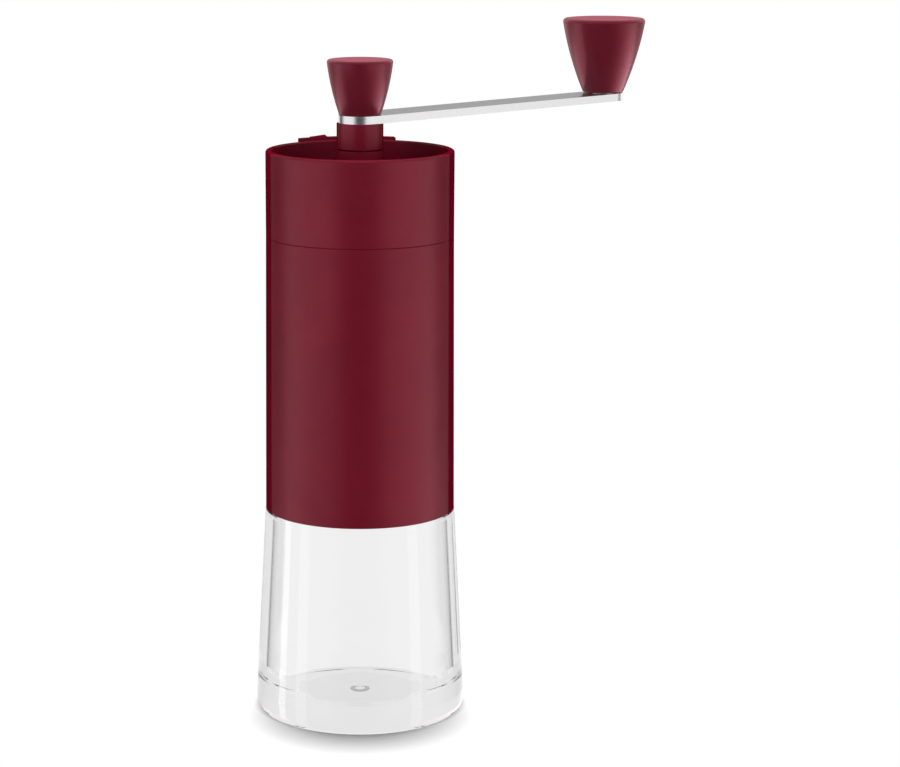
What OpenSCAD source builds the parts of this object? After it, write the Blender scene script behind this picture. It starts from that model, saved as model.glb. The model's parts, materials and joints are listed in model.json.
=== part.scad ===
// Manual coffee grinder: a flared glass jar, a moulded body with a bean hopper,
// a conical burr mill on a through spindle, and a side crank with a turning handle.
// Millimetres, +Z up, origin on the grinding axis at the foot of the jar.

/* [Jar] */
// Height of the jar from its foot to the shoulder that carries the body
jar_h = 61.8; // [50:0.1:80]
// Widening of the jar's diameter from its shoulder to its foot
jar_flare = 5.8; // [2:0.1:8]
// Rounding of the edge of the foot
jar_foot_round = 2.6; // [1.5:0.1:4]
// Thickness of the jar's wall at its shoulder
jar_wall = 2.5; // [2.2:0.1:3.4]
// Thickness of the jar's wall near its foot
jar_foot_wall = 3.2; // [2.5:0.1:4]
// Thickness of the jar's base
jar_base = 3.6; // [3:0.1:8]
// Radius of the hollow between the jar's floor and its wall
jar_floor_hollow = 11.5; // [6:0.1:13]
// Length of the neck that slides into the body
neck_h = 12; // [9:0.1:14]
// Thickness of the neck
neck_wall = 1.6; // [1.4:0.1:2.4]

/* [Body] */
// Diameter of the hopper and of the body at their seam
body_d = 55; // [49.5:0.1:62]
// Widening of the body's diameter from the seam to its lower edge
body_draft = 1; // [0:0.1:2]
// Height of the body between the jar and the seam
body_h = 81.3; // [78:0.1:100]
// Wall of the body at the seam
body_wall = 1.9; // [1.6:0.05:2.2]
// Wall of the body's skirt, which takes the jar's neck
skirt_wall = 1.4; // [1.2:0.05:1.8]
// Height of the hopper ring above the seam
hopper_h = 25.2; // [22:0.1:40]
// Wall of the hopper at its rim
hopper_wall = 1.8; // [1.5:0.05:2.2]
// Rounding of the rim's outer edge
rim_round = 0.7; // [0.3:0.05:0.8]
// Height of the bearing tower above the rim
tower_rise = 0; // [0:0.1:4]

/* [Burrs] */
// Wall of the carrier around the fixed ring burr
carrier_wall = 4.95; // [4.5:0.05:5.4]
// Height of the fixed ring burr
ring_burr_h = 15.9; // [15:0.1:17]
// Radius of the grinding cone at the ring burr's lower edge, as a share of that burr's radius
cone_low_share = 0.925; // [0.905:0.005:0.935]
// Radius of the grinding cone at the ring burr's upper edge, as a share of that burr's radius
cone_high_share = 0.583; // [0.563:0.001:0.613]
// Gap between the two grinding cones, measured across the axis
grind_gap = 0.9; // [0.7:0.05:1.2]
// Number of fine grinding teeth on each burr
teeth = 24; // [16:1:28]
// Number of coarse feed flutes on the turning burr
flutes = 6; // [4:1:7]
// Depth of a fine tooth
tooth_depth = 0.8; // [0.5:0.05:0.9]
// Depth of a feed flute
flute_depth = 1.7; // [1.2:0.1:2]

/* [Spindle] */
// Diameter of the spindle
spindle_d = 7; // [6.6:0.1:7.4]
// Distance across the spindle's driving flats
flats = 5.2; // [5:0.1:5.4]
// Diameter of the screwed ends
screw_d = 5; // [4:0.1:5]
// Diameter of the grind adjuster
adjuster_d = 21; // [19:0.1:24]
// Height of the grind adjuster
adjuster_h = 7.5; // [5:0.1:9]
// Wire of the burr spring
wire_d = 0.9; // [0.7:0.1:1]
// Turns of the burr spring
spring_turns = 3.5; // [3:0.5:4]

/* [Crank] */
// Distance from the grinding axis to the handle's axis
crank_l = 103.4; // [70:0.1:130]
// Width of the crank's flat arm
arm_w = 12.7; // [11:0.1:14]
// Thickness of the crank's flat arm
arm_t = 2.3; // [1.6:0.1:4]
// Direction of the arm at rest, from +X towards +Y
crank_angle = 42.2; // [0:0.1:75]
// Diameter of the hub under the arm
hub_d = 13.6; // [12.6:0.1:14]
// Height of the hub under the arm
hub_h = 7.5; // [6:0.1:12]

/* [Knobs] */
// Largest diameter of the clamping knob
cap_d = 19.2; // [16:0.1:24]
// Diameter of the clamping knob where it meets the arm
cap_foot_d = 12.3; // [11:0.1:12.6]
// Height of the clamping knob
cap_h = 16; // [13:0.1:20]
// Largest diameter of the handle
handle_d = 25.7; // [20:0.1:32]
// Diameter of the handle where it meets the arm
handle_foot_d = 12.9; // [12:0.1:13]
// Height of the handle above the arm
handle_h = 23.3; // [20:0.1:32]
// Diameter of the pin that the handle turns on
handle_pin_d = 6; // [5:0.1:6.4]

/* [Crank clip] */
// Direction of the clip behind the hopper, from +X towards +Y
clip_angle = 99; // [90:0.1:180]
// Width of the clip's saddle
saddle_w = 29.1; // [26:0.1:32]
// Height of the clip's saddle
saddle_h = 15; // [12:0.1:18]
// Thickness of the clip's saddle
saddle_t = 2.9; // [2:0.1:4]
// Width of the clip's cradle
cradle_w = 19.2; // [18.6:0.1:24]
// Depth of the cradle outside the saddle
cradle_depth = 6.5; // [5:0.1:10]
// Width of the throat that the crank's hub snaps through
throat_w = 9.2; // [8:0.1:11]
// Height of the cradle's tips above the rim
tip_rise = 0.5; // [0.5:0.1:4]

/* [Fits] */
// Gap around a turning shaft
running_gap = 0.05; // [0.03:0.01:0.1]
// Gap around a piece that slides off, such as the jar's neck
sliding_gap = 0.15; // [0.1:0.01:0.2]
// Gap between faces that turn past each other
face_gap = 0.3; // [0.2:0.05:0.5]
// Gap around a piece that is pushed or screwed into its seat
seat_gap = 0.05; // [0.02:0.01:0.08]

/* [Hidden] */
$fn = 96;
small_fn = 48;
arc_steps = 8;
short_arc_steps = 4;
flank_steps = 12;
overcut = 1;
overlap = 0.02;

// Colours
wine = [0.42, 0.05, 0.12];
steel = [0.78, 0.79, 0.8];
plated = [0.68, 0.68, 0.7];
black = [0.12, 0.12, 0.13];
acetal = [0.9, 0.88, 0.82];
ceramic = [0.95, 0.94, 0.9];
brass = [0.78, 0.62, 0.3];
silicone = [0.86, 0.86, 0.85];
clear = [0.93, 0.95, 0.95, 0.35];

// Edges that several pieces share
seam_edge = 0.15;
shoulder_edge = 0.25;
lip_round = 0.6;
thin_edge = 0.4;

// Heights of the seams, from the foot upwards
seam_z = jar_h + body_h;
rim_z = seam_z + hopper_h;
neck_top_z = jar_h + neck_h;

// Radii that neighbours share
body_r = body_d / 2;
body_foot_r = body_r + body_draft / 2;
bore_r = body_r - body_wall;
skirt_bore_r = body_foot_r - skirt_wall;
neck_r = skirt_bore_r - sliding_gap;
neck_inner_r = neck_r - neck_wall;
hopper_inner_r = body_r - hopper_wall;
spindle_r = spindle_d / 2;
screw_r = screw_d / 2;
thread_gap = 0.1;
key_gap = 0.1;

// Jar and its seal
shoulder_lip = 0.1;
jar_shoulder_r = body_foot_r + shoulder_lip;
jar_widest_r = jar_shoulder_r + jar_flare / 2;
jar_widest_z = 6;
jar_throat_h = 2.2;
jar_hollow_end = -75;
seal_h = 2;
seal_t = 0.7;
seal_inner_r = skirt_bore_r - running_gap - seal_t;
seal_groove_r = seal_inner_r - seat_gap;
seal_groove_h = seal_h + 2 * seat_gap;
seal_z = jar_h + neck_h / 2;
gate_mark_r = 2.7;
gate_mark_w = 0.8;
gate_mark_h = 0.35;

// Burr seat: retainer at the bottom, carrier on it, ledge of the body on top
skirt_clear = 0.7;
skirt_top_z = neck_top_z + skirt_clear;
retainer_clear = 3.7;
retainer_t = 2.5;
retainer_z = neck_top_z + retainer_clear;
burr_z = retainer_z + retainer_t;
web_t = 2;
web_z = burr_z + ring_burr_h + seat_gap;
ledge_t = 3;
ledge_z = web_z + web_t;
ledge_clear = 0.25;
carrier_clear = 0.7;
carrier_r = bore_r - carrier_clear;
burr_seat_r = carrier_r - carrier_wall;
ledge_r = burr_seat_r + ledge_clear;
ring_burr_r = burr_seat_r - seat_gap;
cone_r_low = ring_burr_r * cone_low_share;
cone_r_high = ring_burr_r * cone_high_share;
bean_gap = 3.4;
bean_throat_r = cone_r_high + bean_gap;
fix_screw_r = 1.4;
fix_ring_r = (burr_seat_r + carrier_r) / 2;
fix_boss_r = 2.6;
fix_boss_h = 6;
fix_bite = 3;
fix_head_r = 2.4;
fix_head_h = 1.6;
cross_w = 0.8;
cross_h = 0.7;

// Spokes of the carrier and of the bearing bridge
spokes = 3;
spoke_w = 3.2;
spoke_start = 60;

// Lower bearing
spider_h = 5;
lower_bush_t = 2;
lower_bush_r = spindle_r + running_gap + lower_bush_t;
lower_bush_h = 11;
spider_hub_t = 2;
spider_hub_r = lower_bush_r + seat_gap + spider_hub_t;
spider_hub_h = 10;
washer_t = 0.8;
thrust_z = web_z + lower_bush_h + seat_gap;
clip_ring_t = 1;
clip_ring_w = 1.6;
clip_ring_mouth = 3;
clip_groove_depth = 0.6;
clip_groove_r = spindle_r - clip_groove_depth;
clip_groove_z = thrust_z + washer_t;
clip_groove_h = clip_ring_t + 2 * seat_gap;

// Funnel of the hopper and the step that carries the bearing bridge
funnel_wall = 1.6;
funnel_widening = 2.5;
funnel_clear = 2.5;
funnel_r = bean_throat_r + funnel_widening;
funnel_z = ledge_z + ledge_t + fix_boss_h + funnel_clear;
spigot_h = 9;
spigot_r = bore_r - seat_gap;
bridge_drop = 16.5;
bridge_z = rim_z - bridge_drop;
bridge_step = 1.4;
bridge_step_r = hopper_inner_r - bridge_step;
bridge_step_h = 9;
bridge_ring_h = 2.5;
bridge_ring_w = 2;
bridge_spoke_h = 7;
funnel_top_z = bridge_z - bridge_step_h;

// Tower and upper bearing
tower_lip = 0.15;
tower_r = hub_d / 2 + tower_lip;
tower_skirt_h = 10;
tower_foot_z = bridge_z - tower_skirt_h;
tower_top_z = rim_z + tower_rise;
tower_clear = 0.8;
upper_bush_t = 1.5;
upper_bush_r = spindle_r + running_gap + upper_bush_t;
upper_bush_h = 12;
upper_bush_z = tower_top_z - upper_bush_h;

// Crank, from the tower upwards
hub_z = tower_top_z + face_gap;
arm_z = hub_z + hub_h;
arm_top_z = arm_z + arm_t;
hub_edge = 0.15;
insert_t = 1.6;
insert_r = screw_r + insert_t;
insert_h = 9;
insert_lift = 0.2;
key_end = 0.3;
spindle_top_z = arm_top_z + insert_h - key_end;
handle_x = crank_l * cos(crank_angle);
handle_y = crank_l * sin(crank_angle);

// Handle on its pin, and the shape of the two grips
handle_pin_r = handle_pin_d / 2;
handle_z = arm_top_z + face_gap;
handle_bush_t = 1.5;
handle_bush_r = handle_pin_r + running_gap + handle_bush_t;
handle_bush_h = 13;
handle_washer_r = handle_bush_r - face_gap;
handle_washer_t = 0.4;
handle_bush_z = arm_top_z + handle_washer_t + running_gap;
pin_head_z = handle_bush_z + handle_bush_h + running_gap;
pin_head_w = 1.2;
pin_head_r = handle_pin_r + pin_head_w;
pin_head_h = 1.5;
pin_head_taper = 0.6;
rivet_w = 0.8;
rivet_h = 0.9;
cap_bulge = 0.42;
cap_round = 0.8;
handle_bulge = 0.66;
handle_round = 1.1;
grip_edge = 0.3;
grip_round_start = 15;

// Turning burr, keyed on the flats of the spindle and held up by the adjuster
cone_foot_h = 1;
cone_foot_z = burr_z - cone_foot_h;
cone_nose_drop = 1.2;
cone_nose_z = burr_z + ring_burr_h - cone_nose_drop;
core_flange_t = 1.2;
core_flange_r = 9;
core_r = 6.2;
core_h = 10.2;
core_foot_z = cone_foot_z - core_flange_t;
core_top_z = core_foot_z + core_h;
key_lift = 1;
key_foot_z = core_foot_z + key_lift;
key_spare = 3;
key_top_z = core_top_z + key_spare;
tooth_w = 1.4;
tooth_skew = 12;
tooth_share = 0.45;
flute_w = 4.4;
flute_skew = 20;
adjuster_z = core_foot_z - seat_gap - adjuster_h;
adjuster_collar_h = 1.5;
adjuster_collar_r = 8;
adjuster_grips = 10;
finger_r = 2.2;
spindle_tail = 1.5;
spindle_foot_z = adjuster_z - spindle_tail;

// Spring between the lower bush and the turning burr
wire_r = wire_d / 2;
coil_clear = 1.15;
coil_r = spindle_r + coil_clear + wire_r;
spring_pocket_r = coil_r + wire_r + coil_clear;
spring_washer_z = web_z - seat_gap - washer_t;
spring_foot_z = core_top_z + wire_r + seat_gap;
spring_top_z = spring_washer_z - wire_r - seat_gap;

// Crank clip
clip_bore_clear = 0.2;
clip_bore_r = hub_d / 2 + clip_bore_clear;
clip_axis_drop = 7;
clip_axis_z = rim_z - clip_axis_drop;
saddle_r = body_r + seat_gap;
saddle_rise = 0.65;
saddle_z = rim_z + saddle_rise - saddle_h;
cradle_root = 6;
cradle_foot_r = saddle_r - cradle_root;
throat_lead_w = 0.4;
throat_lead_h = 1.2;
tip_x = throat_w / 2 + throat_lead_w;
tip_z = clip_axis_drop + tip_rise;
tip_slope = 0.6;
clip_screw_drop = 2.5;
clip_screw_angle = 17.5;
clip_screw_r = 1.2;
clip_screw_l = 5.6;
clip_head_r = 2.2;
clip_head_t = 1.2;
clip_head_lift = 0.12;
clip_head_seat_r = hopper_inner_r - clip_head_lift;

// Points of an arc about (x, y), from angle a to angle b
function arc(x, y, r, a, b, n = arc_steps) =
    [for (i = [0:n]) [x + r * cos(a + (b - a) * i / n), y + r * sin(a + (b - a) * i / n)]];

// Points of a flank from (x0, y0) to (x1, y1) that swells by bulge at its middle
function flank(x0, y0, x1, y1, bulge, n = flank_steps) =
    [for (i = [0:n]) let (t = i / n) [x0 + (x1 - x0) * t + 4 * bulge * t * (1 - t), y0 + (y1 - y0) * t]];

// Radius of the ring burr's grinding cone at height z
function cone_r(z) = cone_r_low + (cone_r_high - cone_r_low) * (z - burr_z) / ring_burr_h;

module ring(outer, inner, h) {
    difference() {
        cylinder(r = outer, h = h);
        translate([0, 0, -overcut]) cylinder(r = inner, h = h + 2 * overcut);
    }
}

module around(n, r = 0, start = 0) {
    for (i = [0:n - 1]) rotate(start + i * 360 / n) translate([r, 0, 0]) children();
}

// Spokes from the axis out to radius r
module spoke_set(r, h) {
    around(spokes, 0, spoke_start) translate([0, -spoke_w / 2, 0]) cube([r, spoke_w, h]);
}

// Round bar with two pairs of flats, in line with the crank, grown by gap where it cuts a hole
module keyed_bar(h, gap = 0) {
    side = flats + 2 * gap;
    rotate(crank_angle) intersection() {
        cylinder(r = spindle_r + gap, h = h);
        translate([-side / 2, -side / 2, 0]) cube([side, side, h]);
    }
}

// Blocks that cut the spindle's flats between two heights
module flat_cuts(z0, z1) {
    rotate(crank_angle) around(4, flats / 2) translate([0, -spindle_r, z0]) cube([spindle_r, spindle_d, z1 - z0]);
}

// Holes for the screws that clamp the burr seat together
module fix_holes(z, h) {
    translate([0, 0, z]) around(spokes, fix_ring_r) cylinder(r = fix_screw_r + seat_gap, h = h, $fn = small_fn);
}

// Puts its children on the axes of the clip's screws, with +Z outwards from radius r
module at_clip_screws(r) {
    for (side = [-1, 1])
        rotate(clip_angle + side * clip_screw_angle) translate([r, 0, clip_axis_z - clip_screw_drop])
            rotate([0, 90, 0]) children();
}

// Puts its children on the handle's axis at height z
module at_handle(z) {
    translate([handle_x, handle_y, z]) children();
}

// Jar and its seal

module ground_jar() {
    foot_r = jar_widest_r - jar_foot_round;
    inner_low_r = jar_widest_r - jar_foot_wall;
    inner_high_r = jar_shoulder_r - jar_wall;
    hollow_z = jar_base - jar_floor_hollow * sin(jar_hollow_end);
    lip_z = neck_top_z - lip_round;
    mark_r = gate_mark_r - gate_mark_w;
    color(clear) rotate_extrude() polygon(concat(
        [[0, 0]],
        arc(foot_r, jar_foot_round, jar_foot_round, -90, 0),
        [[jar_widest_r, jar_widest_z]],
        [[jar_shoulder_r, jar_h - shoulder_edge], [jar_shoulder_r - shoulder_edge, jar_h]],
        [[neck_r, jar_h], [neck_r, seal_z], [seal_groove_r, seal_z]],
        [[seal_groove_r, seal_z + seal_groove_h], [neck_r, seal_z + seal_groove_h]],
        arc(neck_r - lip_round, lip_z, lip_round, 0, 90, short_arc_steps),
        arc(neck_inner_r + lip_round, lip_z, lip_round, 90, 180, short_arc_steps),
        [[neck_inner_r, jar_h], [inner_high_r, jar_h - jar_throat_h]],
        arc(inner_low_r - jar_floor_hollow, hollow_z, jar_floor_hollow, 0, jar_hollow_end),
        [[gate_mark_r + gate_mark_h, jar_base], [gate_mark_r, jar_base + gate_mark_h]],
        [[mark_r, jar_base + gate_mark_h], [mark_r - gate_mark_h, jar_base], [0, jar_base]]
    ));
}

module jar_seal() {
    seal_round = seal_h / 2;
    color(silicone) translate([0, 0, seal_z + seat_gap]) rotate_extrude() intersection() {
        translate([seal_inner_r, 0]) square([seal_t, seal_h]);
        translate([seal_inner_r + seal_t - seal_round, seal_round]) circle(r = seal_round);
    }
}

// Body, hopper and bearings

module body_shell() {
    color(wine) difference() {
        union() {
            rotate_extrude() polygon([
                [bore_r, skirt_top_z + skirt_bore_r - bore_r], [skirt_bore_r, skirt_top_z],
                [skirt_bore_r, jar_h + thin_edge], [skirt_bore_r + thin_edge, jar_h],
                [body_foot_r - seam_edge, jar_h], [body_foot_r, jar_h + seam_edge],
                [body_r, seam_z - seam_edge], [body_r - seam_edge, seam_z], [bore_r, seam_z]]);
            translate([0, 0, ledge_z]) ring(bore_r + overlap, ledge_r, ledge_t);
            translate([0, 0, ledge_z]) around(spokes, fix_ring_r) cylinder(r = fix_boss_r, h = ledge_t + fix_boss_h);
        }
        fix_holes(ledge_z - overcut, ledge_t + fix_boss_h);
    }
}

module hopper() {
    color(wine) difference() {
        rotate_extrude() polygon(concat(
            [[funnel_r, funnel_z], [funnel_r + funnel_wall, funnel_z]],
            [[bridge_step_r, seam_z - spigot_h + funnel_wall], [spigot_r - thin_edge, seam_z - spigot_h]],
            [[spigot_r, seam_z - spigot_h + thin_edge], [spigot_r, seam_z]],
            [[body_r - seam_edge, seam_z], [body_r, seam_z + seam_edge]],
            arc(body_r - rim_round, rim_z - rim_round, rim_round, 0, 90, short_arc_steps),
            arc(hopper_inner_r + thin_edge, rim_z - thin_edge, thin_edge, 90, 180, short_arc_steps),
            [[hopper_inner_r, bridge_z], [bridge_step_r, bridge_z], [bridge_step_r, funnel_top_z]]
        ));
        at_clip_screws(hopper_inner_r - overcut)
            cylinder(r = clip_screw_r + seat_gap, h = hopper_wall + 2 * overcut, $fn = small_fn);
    }
}

module bearing_bridge() {
    ring_r = hopper_inner_r - seat_gap;
    spoke_z = bridge_z + bridge_ring_h - bridge_spoke_h;
    color(wine) difference() {
        union() {
            translate([0, 0, tower_foot_z]) cylinder(r = tower_r, h = tower_top_z - tower_foot_z);
            translate([0, 0, bridge_z]) ring(ring_r, ring_r - bridge_ring_w, bridge_ring_h);
            translate([0, 0, spoke_z]) intersection() {
                spoke_set(ring_r, bridge_spoke_h);
                cylinder(r = bridge_step_r - seat_gap, h = bridge_spoke_h);
            }
        }
        translate([0, 0, tower_foot_z - overcut])
            cylinder(r = spindle_r + tower_clear, h = tower_top_z - tower_foot_z);
        translate([0, 0, upper_bush_z]) cylinder(r = upper_bush_r + seat_gap, h = upper_bush_h + overcut);
    }
}

module upper_bush() {
    color(acetal) translate([0, 0, upper_bush_z]) ring(upper_bush_r, spindle_r + running_gap, upper_bush_h);
}

module burr_carrier() {
    color(black) difference() {
        union() {
            translate([0, 0, burr_z]) ring(carrier_r, burr_seat_r, web_z - burr_z + overlap);
            translate([0, 0, web_z]) ring(carrier_r, bean_throat_r, web_t);
            translate([0, 0, web_z]) spoke_set(burr_seat_r, web_t + spider_h);
            translate([0, 0, web_z]) cylinder(r = spider_hub_r, h = spider_hub_h);
        }
        translate([0, 0, web_z - overcut]) cylinder(r = lower_bush_r + seat_gap, h = spider_hub_h + 2 * overcut);
        fix_holes(burr_z - overcut, ledge_z - burr_z + 2 * overcut);
    }
}

module lower_bush() {
    color(acetal) translate([0, 0, web_z]) ring(lower_bush_r, spindle_r + running_gap, lower_bush_h);
}

// Burrs and what holds them

// V-shaped cutter lying along a cone from (r0, z0) to (r1, z1), with its point towards the axis
module tooth_cutter(r0, z0, r1, z1, depth, width, skew) {
    lean = atan2(r1 - r0, z1 - z0);
    length = norm([r1 - r0, z1 - z0]);
    translate([r0, 0, z0]) rotate([0, lean, 0]) rotate([skew, 0, 0]) translate([0, 0, -overcut])
        linear_extrude(length + 3 * overcut) polygon([[-depth, 0], [depth, -width], [depth, width]]);
}

module ring_burr() {
    top_z = burr_z + ring_burr_h;
    color(ceramic) difference() {
        translate([0, 0, burr_z]) cylinder(r = ring_burr_r, h = ring_burr_h);
        translate([0, 0, burr_z - overlap])
            cylinder(r1 = cone_r_low, r2 = cone_r_high, h = ring_burr_h + 2 * overlap);
        around(teeth) mirror([1, 0, 0])
            tooth_cutter(-cone_r_low, burr_z, -cone_r_high, top_z, tooth_depth, tooth_w / 2, tooth_skew);
    }
}

module burr_retainer() {
    color(black) difference() {
        translate([0, 0, retainer_z]) ring(carrier_r, cone_r_low + face_gap, retainer_t - seat_gap);
        fix_holes(retainer_z - overcut, retainer_t + 2 * overcut);
    }
}

module retainer_screws() {
    shank_l = ledge_z + ledge_t + fix_bite - retainer_z;
    color(plated) translate([0, 0, retainer_z]) around(spokes, fix_ring_r) {
        cylinder(r = fix_screw_r, h = shank_l, $fn = small_fn);
        difference() {
            translate([0, 0, -fix_head_h]) cylinder(r = fix_head_r, h = fix_head_h);
            for (turn = [0, 90]) rotate(turn) translate([-fix_head_r, -cross_w / 2, -fix_head_h - overcut])
                cube([2 * fix_head_r, cross_w, cross_h + overcut]);
        }
    }
}

// Clip that holds the crank when it is off the mill

// Cradle across its axis: a round foot, two upright arms, and the seat of the crank's hub with its throat
module cradle_outline() {
    half_w = cradle_w / 2;
    half_throat = throat_w / 2;
    difference() {
        union() {
            intersection() {
                circle(r = half_w);
                translate([-half_w, -half_w]) square([cradle_w, half_w]);
            }
            polygon([[-half_w, 0], [half_w, 0], [half_w, tip_z - tip_slope],
                     [tip_x, tip_z], [-tip_x, tip_z], [-half_w, tip_z - tip_slope]]);
        }
        circle(r = clip_bore_r);
        translate([-half_throat, 0]) square([throat_w, tip_z]);
        polygon([[-half_throat, tip_z - throat_lead_h], [half_throat, tip_z - throat_lead_h],
                 [tip_x, tip_z + overlap], [-tip_x, tip_z + overlap]]);
    }
}

module crank_clip() {
    plate_r = saddle_r + saddle_t;
    cradle_l = plate_r + cradle_depth - cradle_foot_r;
    color(wine) difference() {
        union() {
            intersection() {
                translate([0, 0, saddle_z]) cylinder(r = plate_r, h = saddle_h);
                rotate(clip_angle) translate([0, -saddle_w / 2, saddle_z]) cube([body_d, saddle_w, saddle_h]);
            }
            rotate(clip_angle) translate([cradle_foot_r, 0, clip_axis_z]) rotate([90, 0, 90])
                linear_extrude(cradle_l) cradle_outline();
        }
        translate([0, 0, rim_z / 2]) cylinder(r = saddle_r, h = rim_z);
        at_clip_screws(body_r - overcut)
            cylinder(r = clip_screw_r + seat_gap, h = clip_screw_l - hopper_wall + 2 * overcut, $fn = small_fn);
    }
}

module clip_screws() {
    color(plated) at_clip_screws(clip_head_seat_r) {
        translate([0, 0, -clip_head_t]) cylinder(r = clip_head_r, h = clip_head_t, $fn = small_fn);
        cylinder(r = clip_screw_r, h = clip_screw_l, $fn = small_fn);
    }
}

// Spindle and what turns with it

module spindle() {
    color(steel) difference() {
        rotate_extrude() polygon([
            [0, spindle_foot_z], [screw_r, spindle_foot_z], [screw_r, key_foot_z], [spindle_r, key_foot_z],
            [spindle_r, clip_groove_z], [clip_groove_r, clip_groove_z],
            [clip_groove_r, clip_groove_z + clip_groove_h], [spindle_r, clip_groove_z + clip_groove_h],
            [spindle_r, arm_top_z - key_end], [screw_r, arm_top_z - key_end],
            [screw_r, spindle_top_z], [0, spindle_top_z]]);
        flat_cuts(key_foot_z - overcut, key_top_z);
        flat_cuts(hub_z, arm_top_z);
    }
}

module thrust_washer() {
    color(plated) translate([0, 0, thrust_z]) ring(lower_bush_r, spindle_r + running_gap, washer_t);
}

module spindle_clip() {
    color(plated) translate([0, 0, clip_groove_z + seat_gap]) difference() {
        ring(spindle_r + clip_ring_w, clip_groove_r + seat_gap, clip_ring_t);
        translate([0, -clip_ring_mouth / 2, -overcut])
            cube([spindle_r + clip_ring_w + overcut, clip_ring_mouth, clip_ring_t + 2 * overcut]);
    }
}

module spring_washer() {
    color(plated) translate([0, 0, spring_washer_z]) ring(coil_r + wire_d, spindle_r + running_gap, washer_t);
}

// One unbroken wire, as rings of points along a helix
module burr_spring() {
    sides = 6;
    turn_rings = 8;
    last = spring_turns * turn_rings;
    lead = (spring_top_z - spring_foot_z) / spring_turns;
    function wire_point(i, k) = let (turn = i / turn_rings, r = coil_r + wire_r * cos(360 * k / sides))
        [r * cos(360 * turn), r * sin(360 * turn), spring_foot_z + lead * turn + wire_r * sin(360 * k / sides)];
    points = [for (i = [0:last]) for (k = [0:sides - 1]) wire_point(i, k)];
    walls = [for (i = [0:last - 1]) for (k = [0:sides - 1])
        let (a = i * sides + k, b = i * sides + (k + 1) % sides)
        each [[a, a + sides, b], [b, a + sides, b + sides]]];
    end = last * sides;
    caps = [for (k = [1:sides - 2]) each [[0, k, k + 1], [end, end + k + 1, end + k]]];
    color(steel) polyhedron(points, concat(walls, caps));
    coil_gaps = [for (i = [0:last - turn_rings]) for (k = [0:sides - 1]) for (m = [0:sides - 1])
        norm(wire_point(i + turn_rings, k) - wire_point(i, m))];
    echo(spring_least_gap = min(coil_gaps));
}

module cone_burr() {
    low_r = cone_r(burr_z) - grind_gap;
    nose_r = cone_r(cone_nose_z) - grind_gap;
    mid_z = burr_z + ring_burr_h * tooth_share;
    mid_r = cone_r(mid_z) - grind_gap;
    color(ceramic) difference() {
        union() {
            translate([0, 0, cone_foot_z]) cylinder(r1 = low_r - cone_foot_h / 2, r2 = low_r, h = cone_foot_h);
            translate([0, 0, burr_z]) cylinder(r1 = low_r, r2 = nose_r, h = cone_nose_z - burr_z);
        }
        around(teeth) tooth_cutter(low_r, burr_z, mid_r, mid_z, tooth_depth, tooth_w / 2, -tooth_skew);
        around(flutes) tooth_cutter(mid_r, mid_z, nose_r, cone_nose_z, flute_depth, flute_w / 2, -flute_skew);
        translate([0, 0, cone_foot_z - overcut])
            cylinder(r = core_r + seat_gap, h = core_top_z - cone_foot_z + overcut);
        translate([0, 0, core_top_z - overlap])
            cylinder(r = spring_pocket_r, h = cone_nose_z - core_top_z + overcut);
    }
}

module burr_core() {
    color(black) translate([0, 0, core_foot_z]) difference() {
        union() {
            cylinder(r = core_flange_r, h = core_flange_t - seat_gap);
            cylinder(r = core_r, h = core_h);
        }
        translate([0, 0, -overcut]) keyed_bar(core_h + 2 * overcut, key_gap);
    }
}

module grind_adjuster() {
    r = adjuster_d / 2;
    color(black) translate([0, 0, adjuster_z]) difference() {
        union() {
            cylinder(r = r, h = adjuster_h - adjuster_collar_h);
            cylinder(r = adjuster_collar_r, h = adjuster_h);
        }
        translate([0, 0, -overcut]) cylinder(r = screw_r + thread_gap, h = adjuster_h + 2 * overcut);
        translate([0, 0, -overcut]) around(adjuster_grips, r + finger_r / 2)
            cylinder(r = finger_r, h = adjuster_h + 2 * overcut, $fn = small_fn);
    }
}

// Crank, clamping knob and handle

module crank_arm() {
    hole_r = handle_pin_r + seat_gap;
    color(steel) difference() {
        translate([0, 0, arm_z]) rotate(crank_angle) linear_extrude(arm_t) union() {
            circle(d = arm_w);
            translate([crank_l, 0]) circle(d = arm_w);
            translate([0, -arm_w / 2]) square([crank_l, arm_w]);
        }
        translate([0, 0, arm_z - overcut]) keyed_bar(arm_t + 2 * overcut, key_gap);
        at_handle(arm_z - overcut) cylinder(r = hole_r, h = arm_t + 2 * overcut);
        at_handle(arm_z - overlap) cylinder(r1 = hole_r + rivet_w, r2 = hole_r - rivet_w, h = 2 * rivet_h);
    }
}

module crank_hub() {
    hub_r = hub_d / 2;
    color(wine) translate([0, 0, hub_z]) difference() {
        rotate_extrude() polygon([
            [0, 0], [hub_r - hub_edge, 0], [hub_r, hub_edge],
            [hub_r, hub_h - hub_edge], [hub_r - hub_edge, hub_h], [0, hub_h]]);
        translate([0, 0, -overcut]) keyed_bar(hub_h + 2 * overcut, key_gap);
    }
}

// Flared grip, widest just under its rounded top
module grip(foot_d, top_d, h, bulge, top_round) {
    foot_r = foot_d / 2;
    top_r = top_d / 2;
    rotate_extrude() polygon(concat(
        [[0, 0], [foot_r - grip_edge, 0]],
        flank(foot_r, grip_edge, top_r, h - top_round, bulge),
        arc(top_r - top_round, h - top_round, top_round, grip_round_start, 90, short_arc_steps),
        [[0, h]]
    ));
}

module clamp_knob() {
    color(wine) translate([0, 0, arm_top_z]) difference() {
        grip(cap_foot_d, cap_d, cap_h, cap_bulge, cap_round);
        translate([0, 0, -overcut]) cylinder(r = insert_r + seat_gap, h = insert_h + seat_gap + overcut);
    }
}

module clamp_insert() {
    color(brass) translate([0, 0, arm_top_z + insert_lift])
        ring(insert_r, screw_r + thread_gap, insert_h - insert_lift);
}

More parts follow.
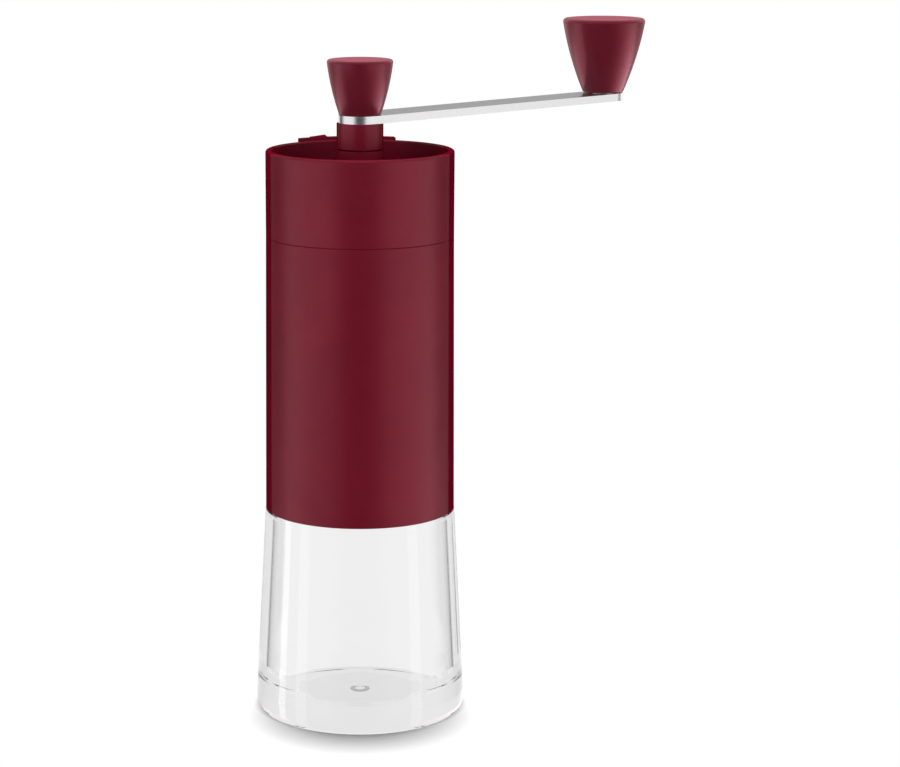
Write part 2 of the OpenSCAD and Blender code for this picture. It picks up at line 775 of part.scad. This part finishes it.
module handle_pin() {
    color(steel) {
        at_handle(arm_z) cylinder(r1 = handle_pin_r + rivet_w, r2 = handle_pin_r, h = rivet_h);
        at_handle(arm_z) cylinder(r = handle_pin_r, h = pin_head_z - arm_z + overlap);
        at_handle(pin_head_z) cylinder(r1 = pin_head_r, r2 = pin_head_r - pin_head_taper, h = pin_head_h);
    }
}

module handle_washer() {
    color(plated) at_handle(arm_top_z) ring(handle_washer_r, handle_pin_r + seat_gap, handle_washer_t);
}

module handle_bush() {
    color(acetal) at_handle(handle_bush_z) ring(handle_bush_r, handle_pin_r + running_gap, handle_bush_h);
}

module handle_knob() {
    head_room = pin_head_z + pin_head_h + face_gap - handle_z;
    color(wine) at_handle(handle_z) difference() {
        grip(handle_foot_d, handle_d, handle_h - face_gap, handle_bulge, handle_round);
        translate([0, 0, -overcut]) cylinder(r = handle_bush_r + seat_gap, h = head_room + overcut);
    }
}

ground_jar();
jar_seal();
body_shell();
hopper();
bearing_bridge();
upper_bush();
burr_carrier();
lower_bush();
ring_burr();
burr_retainer();
retainer_screws();
crank_clip();
clip_screws();
spindle();
thrust_washer();
spindle_clip();
spring_washer();
burr_spring();
cone_burr();
burr_core();
grind_adjuster();
crank_arm();
crank_hub();
clamp_knob();
clamp_insert();
handle_pin();
handle_washer();
handle_bush();
handle_knob();
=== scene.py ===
"""Looks of the manual coffee grinder: its materials, soft studio light and the photograph's camera."""

import json
import math

import bpy
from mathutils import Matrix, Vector

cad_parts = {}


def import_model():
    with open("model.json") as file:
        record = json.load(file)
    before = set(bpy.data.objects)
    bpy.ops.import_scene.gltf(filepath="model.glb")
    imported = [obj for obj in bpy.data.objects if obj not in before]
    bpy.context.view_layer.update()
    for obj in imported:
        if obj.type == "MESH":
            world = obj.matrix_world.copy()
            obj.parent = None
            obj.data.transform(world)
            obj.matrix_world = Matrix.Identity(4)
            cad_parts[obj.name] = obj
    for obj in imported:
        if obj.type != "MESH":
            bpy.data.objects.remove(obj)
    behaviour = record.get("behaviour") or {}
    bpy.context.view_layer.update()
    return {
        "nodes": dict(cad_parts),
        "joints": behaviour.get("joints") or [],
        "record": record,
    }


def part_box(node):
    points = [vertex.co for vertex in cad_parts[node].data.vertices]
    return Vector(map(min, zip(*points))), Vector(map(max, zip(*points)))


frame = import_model()
nodes = frame["nodes"]
scene = bpy.context.scene

MM = 0.001


# Places and sizes on the part, in metres

joints = {joint["name"]: joint for joint in frame["joints"]}
handle_x, handle_y = joints["handle_spin"]["pos_m"][:2]
ARM_ANGLE = math.atan2(handle_y, handle_x)
ARM_CARD_AIM = (handle_x, handle_y, 0.165)
BODY_MIDDLE = (0, 0, 0.1)
JAR_MIDDLE = (0, 0, 0.035)
FOOT_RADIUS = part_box("ground_jar")[1][0]
JAR_FLOOR_RADIUS = 19.3 * MM
JAR_FLOOR_HEIGHT = 3.7 * MM
JAR_FLOOR_SLACK = 0.5 * MM
MARK_RADIUS = 2.3 * MM
MARK_HALF_WIDTH = 0.7 * MM


# Colours

WHITE = (1.0, 1.0, 1.0)
WINE = (0.15, 0.0028, 0.0145)
DARK_WINE = (0.125, 0.0024, 0.0125)
BLUSH = (1.0, 0.38, 0.46)
CLEAR_GLASS = (0.985, 0.985, 0.985)
# Painted shade for the jar's moulding mark, darker than the clear glass
MARK_PAINTED_SHADE_GREY = (0.3, 0.3, 0.3)
GLASS_SHADOW = (0.93, 0.935, 0.935)
CERAMIC_DARK = (0.78, 0.75, 0.68)
CERAMIC_PALE = (0.86, 0.84, 0.78)
CERAMIC_SPECK = (0.42, 0.39, 0.34)
# The floor's grey, which the camera sees only inside the painted shadow round the foot
FLOOR_GREY = (0.43, 0.43, 0.43)
ROSY = (1.0, 0.66, 0.73)


def opaque(colour):
    return (*colour, 1)


def scaled(colour, factor):
    return tuple(min(1, part * factor) for part in colour)


# Node trees


class Tree:
    """Short calls that add nodes to a tree. A value is a number, a colour or another node's output."""

    def __init__(self, tree):
        self.tree = tree

    def add(self, kind, inputs=None, **settings):
        node = self.tree.nodes.new(kind)
        for key, value in settings.items():
            setattr(node, key, value)
        for key, value in (inputs or {}).items():
            self.feed(value, node.inputs[key])
        return node

    def feed(self, value, socket):
        if isinstance(value, bpy.types.NodeSocket):
            self.tree.links.new(value, socket)
        else:
            socket.default_value = value

    def light_path(self):
        return self.add("ShaderNodeLightPath").outputs

    def maths(self, kind, *values):
        return self.add("ShaderNodeMath", dict(enumerate(values)), operation=kind).outputs["Value"]

    def vector_maths(self, kind, *values):
        return self.add("ShaderNodeVectorMath", dict(enumerate(values)), operation=kind).outputs

    def span(self, value, start, end, low=0.0, high=1.0, kind="LINEAR"):
        """low where value is start, high where it is end, and spread between them."""
        inputs = {"Value": value, "From Min": start, "From Max": end, "To Min": low, "To Max": high}
        return self.add("ShaderNodeMapRange", inputs, interpolation_type=kind).outputs["Result"]

    def blend(self, share, first, second, kind="FLOAT"):
        """first where share is 0 and second where it is 1; each kind has its own sockets on the node."""
        socket, result = {"FLOAT": (2, 0), "RGBA": (6, 2)}[kind]
        inputs = {0: share, socket: first, socket + 1: second}
        return self.add("ShaderNodeMix", inputs, data_type=kind).outputs[result]

    def blend_shader(self, share, first, second):
        return self.add("ShaderNodeMixShader", {0: share, 1: first, 2: second}).outputs["Shader"]


class Material(Tree):
    """One material with a Principled shader, and calls for the patterns in front of it."""

    def __init__(self, name):
        self.data = bpy.data.materials.new(name)
        self.data.use_nodes = True
        super().__init__(self.data.node_tree)
        self.shader = self.tree.nodes["Principled BSDF"]
        self.coords = self.add("ShaderNodeTexCoord").outputs["Object"]

    def set(self, **values):
        """Feed inputs of the shader, whose names have _ for a space here."""
        for key, value in values.items():
            self.feed(value, self.shader.inputs[key.replace("_", " ")])

    def surface(self, shader):
        self.feed(shader, self.tree.nodes["Material Output"].inputs["Surface"])

    def mapped(self, scale, turn=0.0):
        inputs = {"Vector": self.coords, "Rotation": (0, 0, turn), "Scale": scale}
        return self.add("ShaderNodeMapping", inputs).outputs["Vector"]

    def noise(self, scale, detail, rough=0.5, vector=None):
        inputs = {"Vector": vector or self.coords, "Scale": scale, "Detail": detail, "Roughness": rough}
        return self.add("ShaderNodeTexNoise", inputs).outputs["Fac"]

    def spots(self, scale):
        return self.add("ShaderNodeTexVoronoi", {"Vector": self.coords, "Scale": scale}).outputs["Distance"]

    def ramp(self, value, start, end, low, high):
        """The colour low up to start, high from end on, and a blend between them."""
        node = self.add("ShaderNodeValToRGB", {"Fac": value})
        for element, place, colour in zip(node.color_ramp.elements, (start, end), (low, high)):
            element.position = place
            element.color = opaque(colour)
        return node.outputs["Color"]

    def bump(self, height, strength, distance):
        node = self.add("ShaderNodeBump", {"Height": height, "Strength": strength, "Distance": distance})
        self.set(Normal=node.outputs["Normal"])


# Materials

# The values that most of a noise lies between, and a wider pair for softer changes
NOISE_RANGE = (0.35, 0.65)
WIDE_RANGE = (0.3, 0.7)

PLASTIC_ROUGH_DRIFT = 0.03
METAL_SHADES = (0.95, 1.04)
METAL_ROUGH_DRIFT = (-0.05, 0.06)
GLASS_IOR = 1.27
GLASS_ROUGH = 0.018
GLASS_WAVE = 0.4 * MM
SPECK_EDGE = (0.06, 0.16)
CERAMIC_ROUGH = (0.5, 0.72)
CERAMIC_GRAIN = 0.02 * MM

# How much of the mark's painted shade grey the rest of the jar's floor has, which makes that floor slightly
# darker
JAR_FLOOR_SHARE = 0.16


def plastic(name, colour, rough, grain, depth, drift=0.08, shine=0.5, tint=WHITE, edge=None):
    """Moulded plastic: a slight drift of colour, uneven sheen and a fine spark-eroded grain.

    grain and depth are the scale and the height of that grain. edge gives where, on a face that turns
    away, the gloss starts to fall and where it is gone.
    """
    m = Material(name)
    cloud = m.noise(scale=45, detail=4)
    m.set(Base_Color=m.ramp(cloud, *NOISE_RANGE, scaled(colour, 1 - drift), scaled(colour, 1 + drift)))
    smear = m.noise(scale=160, detail=5)
    m.set(Roughness=m.span(smear, *NOISE_RANGE, rough - PLASTIC_ROUGH_DRIFT, rough + PLASTIC_ROUGH_DRIFT))
    m.set(Specular_IOR_Level=shine, Specular_Tint=opaque(tint))
    if edge is not None:
        facing = m.add("ShaderNodeLayerWeight", {"Blend": 0.5}).outputs["Facing"]
        m.set(Specular_IOR_Level=m.span(facing, *edge, shine, 0.0))
    m.bump(m.noise(scale=grain, detail=2), strength=0.35, distance=depth)
    return m


def metal(name, colour, rough, stretch, depth, turn=0.0):
    """Metal with fine lines, where stretch is the scale of their noise along each axis after the turn."""
    m = Material(name)
    lines = m.noise(scale=1, detail=4, rough=0.6, vector=m.mapped(stretch, turn))
    shades = [scaled(colour, shade) for shade in METAL_SHADES]
    m.set(Base_Color=m.ramp(lines, *WIDE_RANGE, *shades), Metallic=1.0)
    m.set(Roughness=m.span(lines, *NOISE_RANGE, *(rough + drift for drift in METAL_ROUGH_DRIFT)))
    m.bump(lines, strength=0.12, distance=depth)
    return m


def glass():
    """Clear pressed glass with a faint waviness, a slightly greyed floor and painted shade on its moulding
    mark, a grey ring in place of the dark lines that the mark's slopes show.

    Lamps shine through it almost undimmed.
    """
    m = Material("glass")
    flat = m.vector_maths("MULTIPLY", m.coords, (1, 1, 0))["Vector"]
    radius = m.vector_maths("LENGTH", flat)["Value"]
    height = m.add("ShaderNodeSeparateXYZ", {"Vector": m.coords}).outputs["Z"]
    # Painted shade: the ring of the moulding mark is tinted grey in place of the dark lines its slopes show
    on_mark_painted_shade = m.maths("COMPARE", radius, MARK_RADIUS, MARK_HALF_WIDTH)
    on_disc = m.maths("LESS_THAN", radius, JAR_FLOOR_RADIUS)
    at_floor = m.maths("COMPARE", height, JAR_FLOOR_HEIGHT, JAR_FLOOR_SLACK)
    share = m.maths("MAXIMUM", on_mark_painted_shade, m.maths("MULTIPLY", on_disc, JAR_FLOOR_SHARE))
    m.set(Base_Color=m.ramp(m.maths("MULTIPLY", share, at_floor), 0.0, 1.0, CLEAR_GLASS, MARK_PAINTED_SHADE_GREY))
    m.set(Transmission_Weight=1.0, IOR=GLASS_IOR)
    m.set(Roughness=m.span(m.noise(scale=90, detail=3), *NOISE_RANGE, 0.0, GLASS_ROUGH))
    m.bump(m.noise(scale=38, detail=2), strength=0.05, distance=GLASS_WAVE)
    lit_through = m.add("ShaderNodeBsdfTransparent", {"Color": opaque(GLASS_SHADOW)}).outputs["BSDF"]
    m.surface(m.blend_shader(m.light_path()["Is Shadow Ray"], m.shader.outputs["BSDF"], lit_through))
    return m


def ceramic():
    """Fired, unglazed ceramic: warm white with fine dark specks and a dry, sandy face."""
    m = Material("burr_ceramic")
    off_speck = m.span(m.spots(scale=900), *SPECK_EDGE)
    body = m.ramp(m.noise(scale=120, detail=5), *WIDE_RANGE, CERAMIC_DARK, CERAMIC_PALE)
    m.set(Base_Color=m.blend(off_speck, opaque(CERAMIC_SPECK), body, kind="RGBA"))
    m.set(Roughness=m.span(m.noise(scale=700, detail=4), *NOISE_RANGE, *CERAMIC_ROUGH))
    m.bump(m.noise(scale=1600, detail=3), strength=0.3, distance=CERAMIC_GRAIN)
    return m


PLASTICS = {
    "silicone": dict(colour=(0.68, 0.68, 0.66), rough=0.55, grain=900, depth=0.01 * MM, drift=0.04),
    "wine_plastic": dict(colour=WINE, rough=0.36, grain=2600, depth=0.012 * MM, shine=0.7, tint=BLUSH,
                         edge=(0.38, 0.68)),
    "wine_knob": dict(colour=DARK_WINE, rough=0.24, grain=1400, depth=0.004 * MM, shine=0.6, tint=BLUSH,
                      edge=(0.56, 0.8)),
    "black_plastic": dict(colour=(0.018, 0.018, 0.02), rough=0.5, grain=2200, depth=0.012 * MM, drift=0.15),
    "bearing_plastic": dict(colour=(0.72, 0.68, 0.58), rough=0.4, grain=1800, depth=0.006 * MM),
}
METALS = {
    "steel": dict(colour=(0.7, 0.7, 0.705), rough=0.24, stretch=(60, 4200, 4200), depth=0.004 * MM,
                  turn=-ARM_ANGLE),
    "plated_steel": dict(colour=(0.62, 0.62, 0.63), rough=0.2, stretch=(500, 500, 2600), depth=0.003 * MM),
    "brass": dict(colour=(0.62, 0.43, 0.16), rough=0.28, stretch=(400, 400, 3200), depth=0.004 * MM),
}
looks = {"glass": glass(), "burr_ceramic": ceramic()}
for name, values in PLASTICS.items():
    looks[name] = plastic(name, **values)
for name, values in METALS.items():
    looks[name] = metal(name, **values)
looks["wine_knob"].set(Sheen_Weight=0.7, Sheen_Roughness=0.5, Sheen_Tint=opaque(BLUSH))

for part in frame["record"]["subparts"]:
    mesh = nodes[part["node"]].data
    mesh.materials.clear()
    mesh.materials.append(looks[part["material_slot"]].data)


# Stage: a pale floor with a partly painted shadow round the foot that turns to plain white away from it, and
# the studio around it

FLOOR_RADIUS = 0.45
FLOOR_SIDES = 96
FLOOR_LIFT = 0.02 * MM
# Strength of the painted light that glows under the foot
UNDER_FOOT_PAINTED_GLOW = 0.8
# Painted shadow: inside these fades, one set off towards the front and one close all round, the camera sees
# the grey floor
SHADOW_CENTRE = (0, -10.5 * MM, 0)
SHADOW_SCALE = (1.07, 1, 1)
SHADOW_FADE = (20.2 * MM, 35.5 * MM)
CONTACT_FADE = (28.8 * MM, 32.2 * MM)


def placed(name, data):
    """A new object in the scene."""
    piece = bpy.data.objects.new(name, data)
    scene.collection.objects.link(piece)
    return piece


def floor():
    """A disc that is shaded close round the foot, partly by the lamps and partly by painted shadow, and plain
    white for the camera further out.

    What the part mirrors or bends passes through it, apart from a patch under the foot that glows pale,
    painted light in place of the floor lit through the glass.
    """
    turns = [2 * math.pi * i / FLOOR_SIDES for i in range(FLOOR_SIDES)]
    rim = [(FLOOR_RADIUS * math.cos(turn), FLOOR_RADIUS * math.sin(turn), 0.0) for turn in turns]
    mesh = bpy.data.meshes.new("floor")
    mesh.from_pydata(rim, [], [tuple(range(FLOOR_SIDES))])
    piece = placed("floor", mesh)
    piece.location.z = FLOOR_LIFT

    m = Material("floor")
    m.set(Base_Color=opaque(FLOOR_GREY), Roughness=0.9, Specular_IOR_Level=0.0)
    path = m.light_path()

    def glow(strength):
        return m.add("ShaderNodeEmission", {"Color": opaque(WHITE), "Strength": strength}).outputs["Emission"]

    def away(vector, centre=(0, 0, 0)):
        return m.vector_maths("DISTANCE", vector, centre)["Value"]

    # Painted shadow: the grey floor, with its real shading from the lamps, shows to the camera only inside
    # these fades; elsewhere it is plain white
    ahead = m.span(away(m.mapped(SHADOW_SCALE), SHADOW_CENTRE), *SHADOW_FADE)
    around = m.span(away(m.coords), *CONTACT_FADE)
    plain = m.maths("MULTIPLY", path["Is Camera Ray"], m.maths("MINIMUM", ahead, around))
    shaded = m.blend_shader(plain, m.shader.outputs["BSDF"], glow(1.0))
    clear = m.add("ShaderNodeBsdfTransparent").outputs["BSDF"]
    # Painted light: under the foot, rays through the glass and in gloss see a pale glow instead of the lit
    # floor
    under_foot = m.maths("LESS_THAN", away(m.coords), FOOT_RADIUS)
    passed = m.blend_shader(under_foot, clear, glow(UNDER_FOOT_PAINTED_GLOW))
    bounced = m.maths("MAXIMUM", path["Is Transmission Ray"], path["Is Glossy Ray"])
    m.surface(m.blend_shader(bounced, shaded, passed))
    mesh.materials.append(m.data)


floor()

# Strengths of the studio's white: on matt faces, in gloss that looks up or down, and through the glass
MATT_LIGHT = 0.34
GLOSS_ABOVE = 0.38
GLOSS_BELOW = 0.45
BEHIND_GLASS = 0.9
DARK_FLAG = 0.1

# How far down a direction points where the light from below ends
LOW_EDGE = (-0.36, -0.3)


def world():
    """White for the camera, with bright and dark bands in gloss and two dark flags seen through the glass.

    x, y and z are a direction's parts, with y from -1, towards the camera, to 1, straight behind the part.
    In gloss the light from below is rosy, but not for what has passed through the glass.
    """
    scene.world = bpy.data.worlds.new("studio")
    scene.world.use_nodes = True
    t = Tree(scene.world.node_tree)
    background = t.tree.nodes["Background"].inputs
    direction = t.add("ShaderNodeTexCoord").outputs["Generated"]
    axes = t.add("ShaderNodeSeparateXYZ", {"Vector": direction}).outputs
    x, y, z = (axes[name] for name in "XYZ")
    path = t.light_path()

    def stepped(value, level, *steps):
        """level, eased to each step's own level as value goes from that step's start to its end."""
        for start, end, next_level in steps:
            level = t.span(value, start, end, level, next_level, kind="SMOOTHSTEP")
        return level

    # Level with the part it is dark ahead, bright to the sides, dark further back and pale straight behind
    sides = stepped(y, 0.1, (-0.97, -0.78, 1.25), (-0.05, 0.4, 0.12), (0.7, 0.95, 0.85))

    # From below it is brighter at the right than at the left
    low_left = stepped(y, 0.1, (-0.5, -0.05, 1.95), (0.66, 0.84, 0.3))
    low_right = stepped(y, 0.05, (-0.85, 0.2, 3.5))
    low = stepped(x, low_left, (-0.05, 0.05, low_right))
    gloss = stepped(z, GLOSS_BELOW, (-0.8, -0.7, low), (*LOW_EDGE, sides), (0.05, 0.12, GLOSS_ABOVE))

    # Through the glass it is pale, with a dark flag at each side
    flags = stepped(y, BEHIND_GLASS, (0.3, 0.55, DARK_FLAG), (0.72, 0.82, BEHIND_GLASS))
    through = stepped(z, BEHIND_GLASS, (-0.45, -0.35, flags), (0.25, 0.35, BEHIND_GLASS))

    strength = t.blend(path["Is Glossy Ray"], MATT_LIGHT, gloss)
    strength = t.blend(path["Is Transmission Ray"], strength, through)
    strength = t.blend(path["Is Camera Ray"], strength, 1.0)
    t.feed(strength, background["Strength"])

    outside = stepped(path["Transmission Depth"], path["Is Glossy Ray"], (0.0, 1.0, 0.0))
    from_below = stepped(z, outside, (*LOW_EDGE, 0.0))
    t.feed(t.blend(from_below, opaque(WHITE), opaque(ROSY), kind="RGBA"), background["Color"])


world()


# Lamps


def only_for(node):
    """A collection of one node, for a lamp that lights it alone."""
    group = bpy.data.collections.new(f"only_{node}")
    group.objects.link(nodes[node])
    return group


def lamp(name, place, aim, size, radiance, only=None):
    """A soft lamp that isn't seen itself; with only, a card that shows in that group's gloss alone."""
    data = bpy.data.lights.new(name, "AREA")
    data.shape = "RECTANGLE"
    data.size, data.size_y = size
    data.energy = radiance * math.pi * size[0] * size[1]
    piece = placed(name, data)
    piece.location = place
    piece.rotation_euler = (Vector(aim) - Vector(place)).to_track_quat("-Z", "Y").to_euler()
    piece.visible_camera = False
    piece.visible_transmission = False
    piece.visible_glossy = only is not None
    piece.light_linking.receiver_collection = only


for name, side in (("softbox_left", -1), ("softbox_right", 1)):
    lamp(name, place=(side * 0.75, -0.6, 0.4), aim=BODY_MIDDLE, size=(0.5, 0.9), radiance=1.9)
lamp("front", place=(0, -1.1, 0.75), aim=BODY_MIDDLE, size=(0.9, 0.7), radiance=1.2)
lamp("overhead", place=(0, 0.05, 0.9), aim=(0, 0, 0), size=(0.8, 0.8), radiance=2.2)

arm_only = only_for("crank_arm")
lamp("card_arm_end", place=(0.45, 0.37, 0.065), aim=ARM_CARD_AIM, size=(0.25, 0.5), radiance=1.0,
     only=arm_only)
lamp("card_arm_back", place=(0, 0.75, -0.1), aim=(0, 0, -0.1), size=(1.8, 0.4), radiance=0.75,
     only=arm_only)

jar_card = dict(aim=JAR_MIDDLE, only=only_for("ground_jar"))
lamp("card_edge", place=(-0.61, 0.05, -0.09), size=(0.11, 0.6), radiance=4.5, **jar_card)
lamp("card_left", place=(-0.58, -0.24, -0.09), size=(0.15, 0.6), radiance=2.3, **jar_card)
lamp("card_right", place=(0.56, -0.27, -0.09), size=(0.15, 0.6), radiance=2.3, **jar_card)


# Camera, from the perspective fit of the photograph

CAMERA_PLACE = (0, -0.762, 0.25547)
CAMERA_TILT = math.radians(78.39)
CAMERA_LENS = 105.23
SENSOR_WIDTH = 36
FRAME_SHIFT = 0.1

camera = placed("camera", bpy.data.cameras.new("camera"))
camera.location = CAMERA_PLACE
camera.rotation_euler = (CAMERA_TILT, 0, 0)
camera.data.sensor_width = SENSOR_WIDTH
camera.data.lens = CAMERA_LENS
camera.data.shift_x = FRAME_SHIFT
scene.camera = camera

scene.view_settings.view_transform = "Standard"
